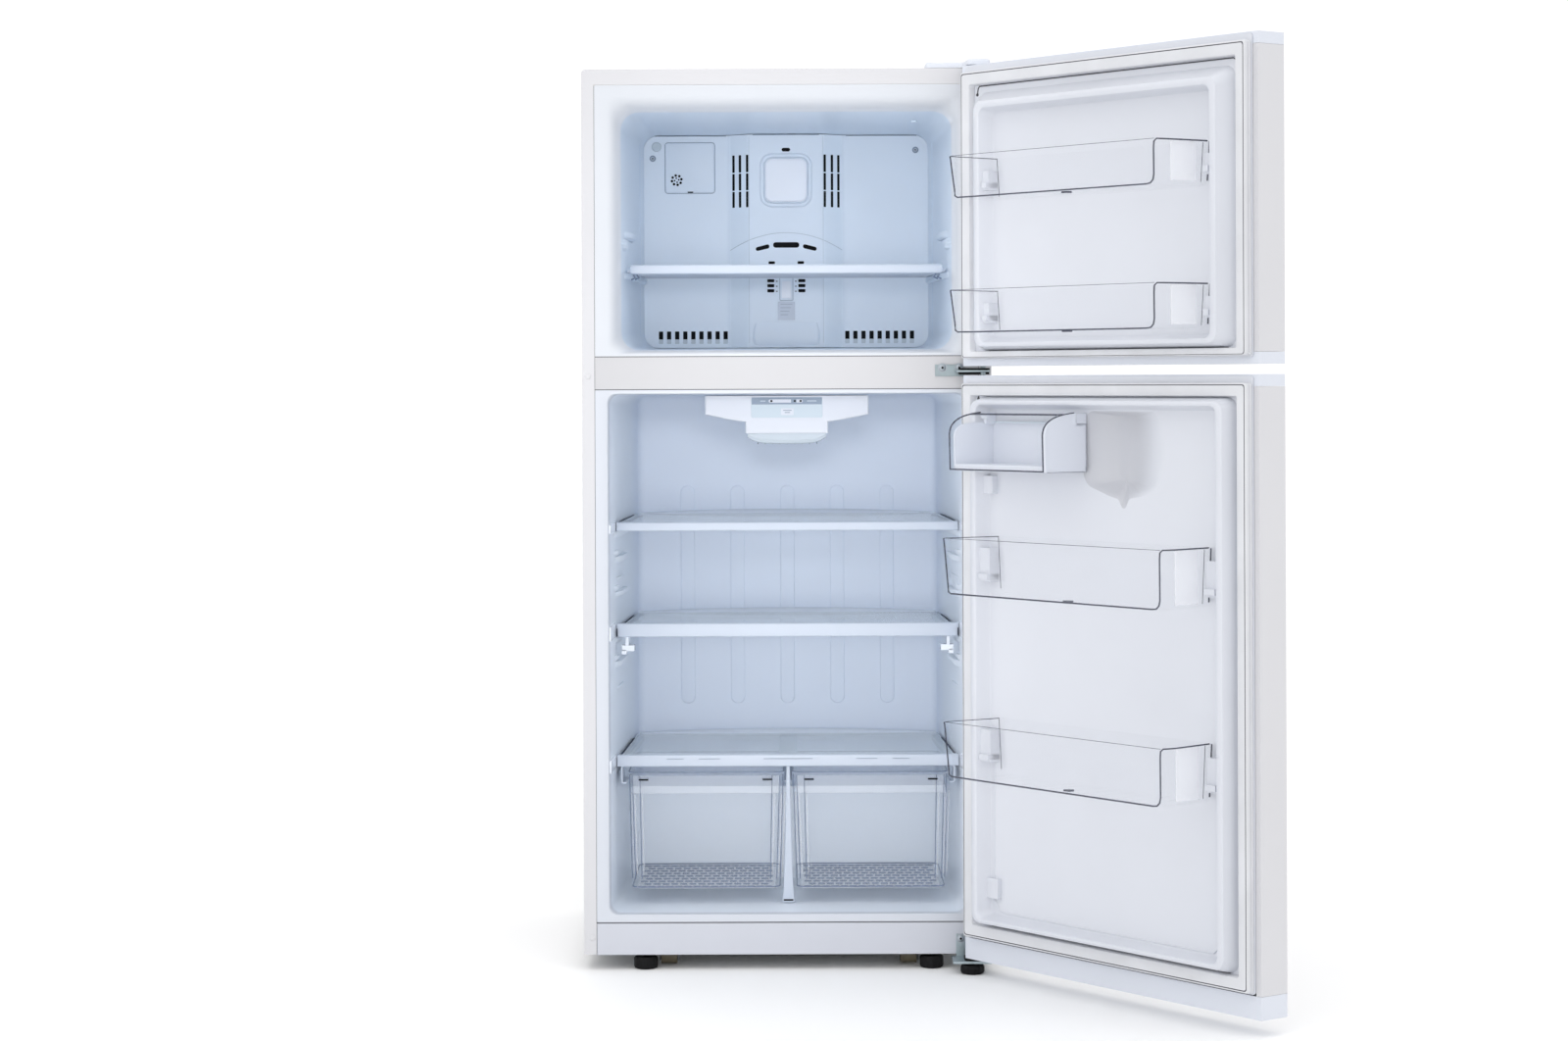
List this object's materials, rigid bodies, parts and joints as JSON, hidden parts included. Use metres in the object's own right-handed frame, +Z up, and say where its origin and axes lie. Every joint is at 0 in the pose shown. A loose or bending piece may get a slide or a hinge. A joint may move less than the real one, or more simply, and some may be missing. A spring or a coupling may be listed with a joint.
{
  "type": "top freezer refrigerator",
  "caption": "Upright domestic refrigerator with a freezer above, both doors standing open, with door bins, sliding glass shelves, covered crisper drawers and a rear machine compartment.",
  "frame": {"origin": "middle of the bounding box of the whole object with both doors open, at floor level", "axes": "+Z up, the cabinet opens towards -Y, +X towards the hinge side"},
  "size_m": [1.203, 1.3485, 1.6733],
  "materials": {
    "white_steel": "smooth white baked enamel",
    "white_plastic": "white, lightly glossy",
    "liner_plastic": "pale blue-white vacuum-formed liner",
    "door_plastic": "pale grey-white vacuum-formed liner",
    "clear_plastic": "clear moulded plastic",
    "shelf_glass": "clear tempered glass",
    "gasket_rubber": "soft light grey magnetic gasket",
    "zinc_steel": "zinc-plated pressed steel",
    "black_steel": "black paint",
    "black_plastic": "matt black",
    "brown_plastic": "matt brown-grey nylon",
    "evaporator_aluminium": "mill finish",
    "foam": "rigid foam, never seen",
    "galvanised_steel": "galvanised sheet",
    "panel_grey": "grey"
  },
  "bodies": {
    "cabinet": {"outer_case": "white_steel", "back_panel": "galvanised_steel", "cabinet_insulation": "foam", "freezer_liner": "liner_plastic", "fridge_liner": "liner_plastic", "mullion_cover": "white_steel", "base_pan": "galvanised_steel", "base_grille": "white_plastic", "machine_room_cover": "galvanised_steel", "compressor": "black_steel", "condenser_coil": "black_steel", "condenser_fan_motor": "galvanised_steel", "evaporator": "evaporator_aluminium", "evaporator_fan_motor": "galvanised_steel", "evaporator_cover": "liner_plastic", "air_outlet_cover": "white_plastic", "access_cover": "liner_plastic", "control_housing": "white_plastic", "lamp_cover": "clear_plastic", "crisper_cover_frame": "white_plastic", "crisper_cover_glass": "shelf_glass", "top_hinge": "zinc_steel", "top_hinge_cover": "white_plastic", "middle_hinge": "zinc_steel", "bottom_hinge": "zinc_steel"},
    "upper_door": {"upper_door_skin": "white_steel", "upper_door_liner": "door_plastic", "upper_door_foam": "foam", "upper_door_gasket": "gasket_rubber", "upper_door_top_cap": "white_plastic", "upper_door_bottom_cap": "white_plastic"},
    "lower_door": {"lower_door_skin": "white_steel", "lower_door_liner": "door_plastic", "lower_door_foam": "foam", "lower_door_gasket": "gasket_rubber", "lower_door_top_cap": "white_plastic", "lower_door_bottom_cap": "white_plastic", "dairy_housing": "white_plastic"},
    "upper_shelf": {"upper_shelf_frame": "white_plastic", "upper_shelf_glass": "shelf_glass"},
    "middle_shelf": {"middle_shelf_frame": "white_plastic", "middle_shelf_glass": "shelf_glass"},
    "dairy_lid": {"dairy_lid": "clear_plastic"},
    "upper_door_bin_top": {"upper_door_bin_top": "clear_plastic"},
    "upper_door_bin_bottom": {"upper_door_bin_bottom": "clear_plastic"},
    "lower_door_bin_middle": {"lower_door_bin_middle": "clear_plastic"},
    "lower_door_bin_bottom": {"lower_door_bin_bottom": "clear_plastic"},
    "freezer_shelf": {"freezer_shelf": "clear_plastic"},
    "crisper_left": {"crisper_left": "clear_plastic"},
    "crisper_right": {"crisper_right": "clear_plastic"},
    "control_slider": {"control_slider": "panel_grey"},
    "freezer_slider": {"freezer_slider": "white_plastic"},
    "front_roller_left": {"front_roller_left": "brown_plastic"},
    "front_roller_right": {"front_roller_right": "brown_plastic"},
    "rear_rollers": {"rear_rollers": "black_plastic"},
    "levelling_foot_left": {"levelling_foot_left": "black_plastic"},
    "levelling_foot_right": {"levelling_foot_right": "black_plastic"},
    "hinge_foot": {"hinge_foot": "black_plastic"},
    "condenser_fan": {"condenser_fan": "black_plastic"},
    "evaporator_fan": {"evaporator_fan": "black_plastic"}
  },
  "joints": [
    {"name": "upper_door_hinge", "type": "hinge", "parent": "cabinet", "child": "upper_door", "pos_m": [0.13387, -0.06623, 1.385], "axis": [0, 0, 1], "range_deg": [-127, 8]},
    {"name": "lower_door_hinge", "type": "hinge", "parent": "cabinet", "child": "lower_door", "pos_m": [0.13387, -0.06623, 0.56], "axis": [0, 0, 1], "range_deg": [-127, 8]},
    {"name": "dairy_lid_hinge", "type": "hinge", "parent": "lower_door", "child": "dairy_lid", "pos_m": [0.19538, -0.26417, 1.019], "axis": [-0.6018, 0.7986, 0], "range_deg": [0, 60]},
    {"name": "upper_door_bin_top_lift", "type": "slide", "parent": "upper_door", "child": "upper_door_bin_top", "axis": [0, 0, 1], "range_m": [0, 0.025]},
    {"name": "upper_door_bin_bottom_lift", "type": "slide", "parent": "upper_door", "child": "upper_door_bin_bottom", "axis": [0, 0, 1], "range_m": [0, 0.025]},
    {"name": "lower_door_bin_middle_lift", "type": "slide", "parent": "lower_door", "child": "lower_door_bin_middle", "axis": [0, 0, 1], "range_m": [0, 0.025]},
    {"name": "lower_door_bin_bottom_lift", "type": "slide", "parent": "lower_door", "child": "lower_door_bin_bottom", "axis": [0, 0, 1], "range_m": [0, 0.025]},
    {"name": "freezer_shelf_slide", "type": "slide", "parent": "cabinet", "child": "freezer_shelf", "axis": [0, -1, 0], "range_m": [0, 0.25]},
    {"name": "upper_shelf_slide", "type": "slide", "parent": "cabinet", "child": "upper_shelf", "axis": [0, -1, 0], "range_m": [0, 0.17]},
    {"name": "middle_shelf_slide", "type": "slide", "parent": "cabinet", "child": "middle_shelf", "axis": [0, -1, 0], "range_m": [0, 0.17]},
    {"name": "crisper_left_slide", "type": "slide", "parent": "cabinet", "child": "crisper_left", "axis": [0, -1, 0], "range_m": [0, 0.3]},
    {"name": "crisper_right_slide", "type": "slide", "parent": "cabinet", "child": "crisper_right", "axis": [0, -1, 0], "range_m": [0, 0.3]},
    {"name": "control_slider_slide", "type": "slide", "parent": "cabinet", "child": "control_slider", "axis": [1, 0, 0], "range_m": [-0.042, 0.012]},
    {"name": "freezer_slider_slide", "type": "slide", "parent": "cabinet", "child": "freezer_slider", "axis": [0, 0, 1], "range_m": [-0.003, 0.014]},
    {"name": "front_roller_left_axle", "type": "hinge", "parent": "cabinet", "child": "front_roller_left", "pos_m": [-0.44723, 0.03577, 0.0175], "axis": [1, 0, 0], "continuous": true},
    {"name": "front_roller_right_axle", "type": "hinge", "parent": "cabinet", "child": "front_roller_right", "pos_m": [-0.00323, 0.03577, 0.0175], "axis": [1, 0, 0], "continuous": true},
    {"name": "rear_roller_axle", "type": "hinge", "parent": "cabinet", "child": "rear_rollers", "pos_m": [-0.22523, 0.62377, 0.017], "axis": [1, 0, 0], "continuous": true},
    {"name": "levelling_foot_left_stud", "type": "hinge", "parent": "cabinet", "child": "levelling_foot_left", "pos_m": [-0.48923, 0.00177, 0.02], "axis": [0, 0, 1], "continuous": true},
    {"name": "levelling_foot_right_stud", "type": "hinge", "parent": "cabinet", "child": "levelling_foot_right", "pos_m": [0.03877, 0.00177, 0.02], "axis": [0, 0, 1], "continuous": true},
    {"name": "hinge_foot_stud", "type": "hinge", "parent": "cabinet", "child": "hinge_foot", "pos_m": [0.11077, -0.06623, 0.015], "axis": [0, 0, 1], "continuous": true},
    {"name": "condenser_fan_shaft", "type": "hinge", "parent": "cabinet", "child": "condenser_fan", "pos_m": [-0.25523, 0.55377, 0.128], "axis": [1, 0, 0], "continuous": true},
    {"name": "evaporator_fan_shaft", "type": "hinge", "parent": "cabinet", "child": "evaporator_fan", "pos_m": [-0.22523, 0.53577, 1.47], "axis": [0, 1, 0], "continuous": true}
  ]
}
